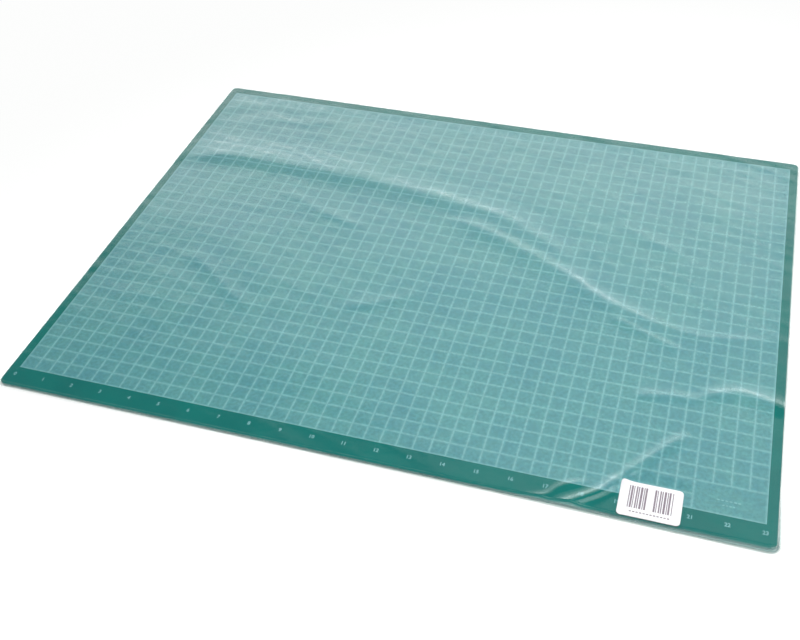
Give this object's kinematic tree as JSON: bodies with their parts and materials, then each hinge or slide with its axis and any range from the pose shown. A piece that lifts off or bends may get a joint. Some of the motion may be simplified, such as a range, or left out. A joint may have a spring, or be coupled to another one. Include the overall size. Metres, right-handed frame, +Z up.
{
  "type": "self-healing cutting mat",
  "caption": "Flat rectangular cutting mat with a printed grid of half-inch squares, numbered along one edge, in a clear wrinkled film wrap with a barcode label.",
  "frame": {"origin": "on the surface that the wrapped mat lies on, under the middle of the package", "axes": "+X along the long side, towards the high numbers of the front edge; +Y towards the back edge, away from the numbered front edge; +Z up, out of the printed face"},
  "size_m": [0.603, 0.4498, 0.0036],
  "materials": {
    "healing_vinyl": "fine matte grain, soft vinyl",
    "core_vinyl": "matte, hard vinyl",
    "field_ink": "matte screen print",
    "line_ink": "matte screen print",
    "film": "clear glossy plastic film, wrinkled",
    "film_weld": "clear plastic film, welded",
    "label_paper": "smooth white label paper",
    "label_ink": "dark thermal print"
  },
  "bodies": {
    "root": {"lower_healing_ply": "healing_vinyl", "rigid_core_ply": "core_vinyl", "upper_healing_ply": "healing_vinyl", "field_tint_ink": "field_ink", "crosswise_grid_ink": "line_ink", "lengthwise_grid_ink": "line_ink", "upper_film_sheet": "film", "lower_film_sheet": "film", "front_weld": "film_weld", "left_weld": "film_weld", "right_weld": "film_weld", "barcode_label": "label_paper"}
  },
  "joints": []
}
